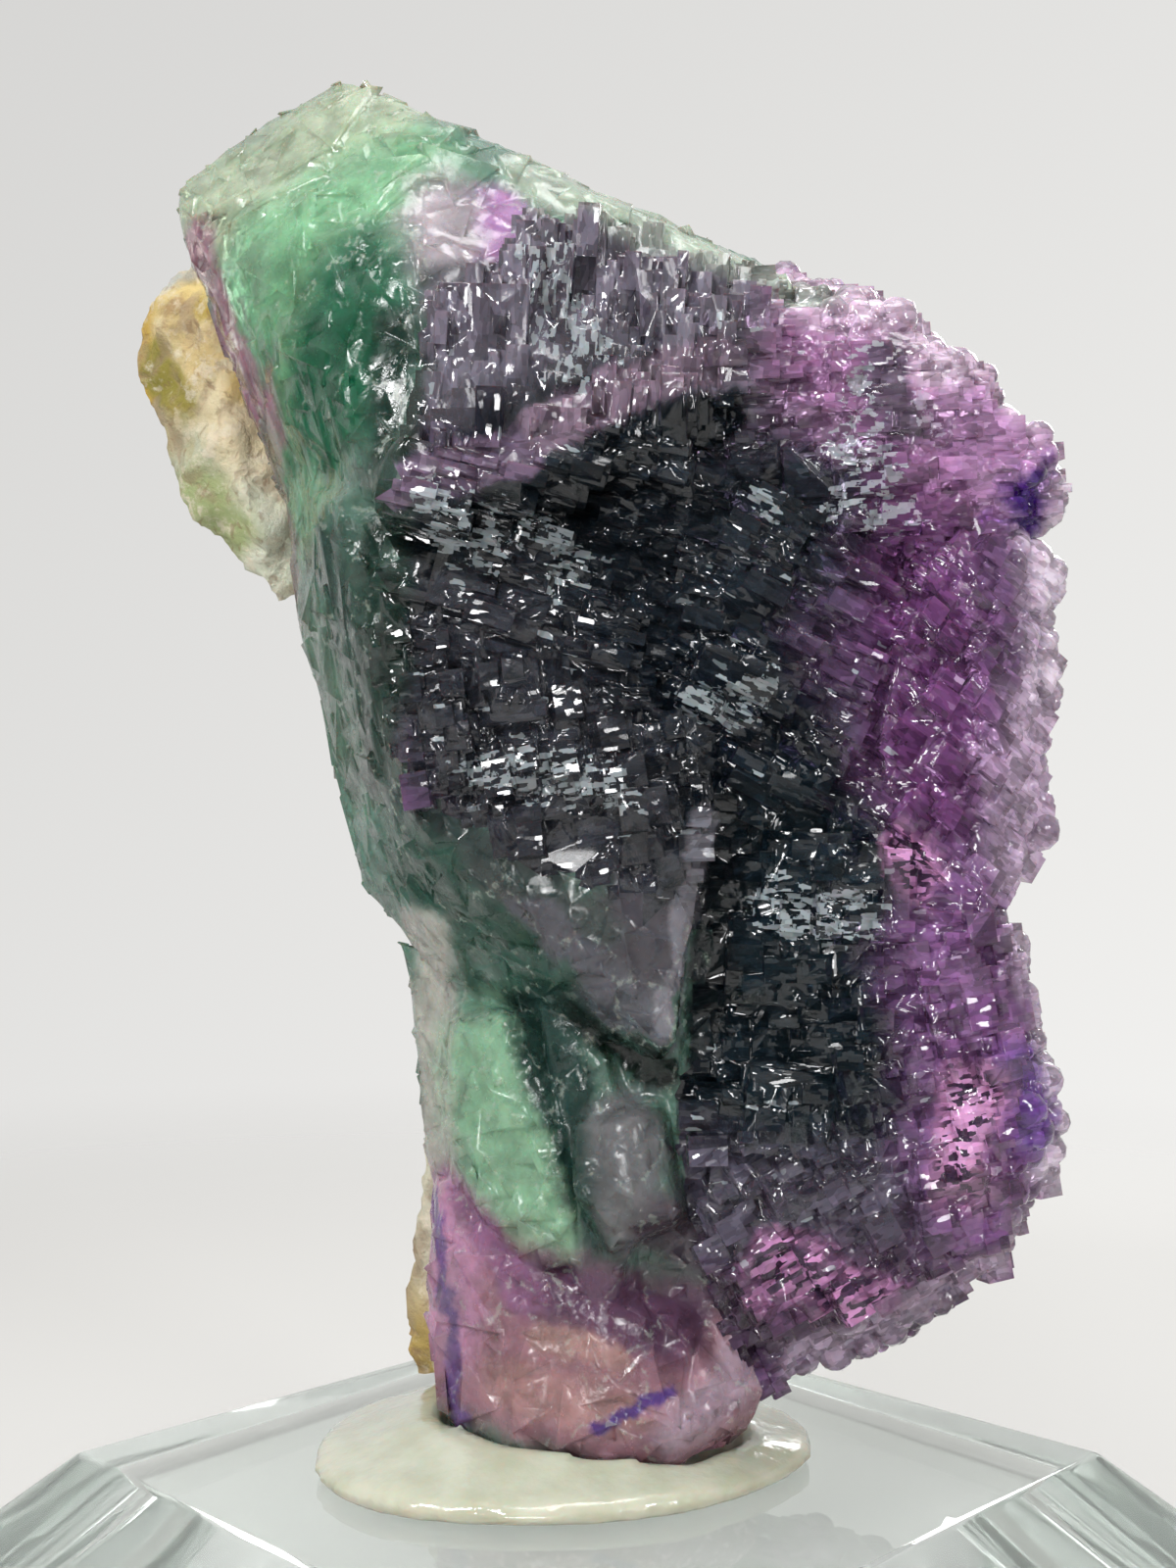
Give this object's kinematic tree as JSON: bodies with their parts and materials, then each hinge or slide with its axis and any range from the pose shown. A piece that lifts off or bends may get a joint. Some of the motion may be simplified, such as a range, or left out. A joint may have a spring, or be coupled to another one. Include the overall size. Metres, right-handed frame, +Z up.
{
  "type": "fluorite cluster",
  "caption": "Intergrown purple and green fluorite crystals on a thin rock matrix, held upright in putty on a bevelled glass display block.",
  "frame": {"origin": "middle of the glass stand's underside", "axes": "+Z up, +X to the right of the crystal face, which looks along -Y"},
  "size_m": [0.0906, 0.0906, 0.1158],
  "materials": {
    "fluorite": "glassy, deep purple to green, see-through at thin edges",
    "matrix_rock": "rough, cream to ochre",
    "putty": "soft, pale, slightly glossy",
    "stand_glass": "clear and polished, faintly green"
  },
  "bodies": {
    "root": {"fluorite_crystals": "fluorite", "rock_matrix": "matrix_rock", "mounting_putty": "putty", "glass_stand": "stand_glass"}
  },
  "joints": []
}
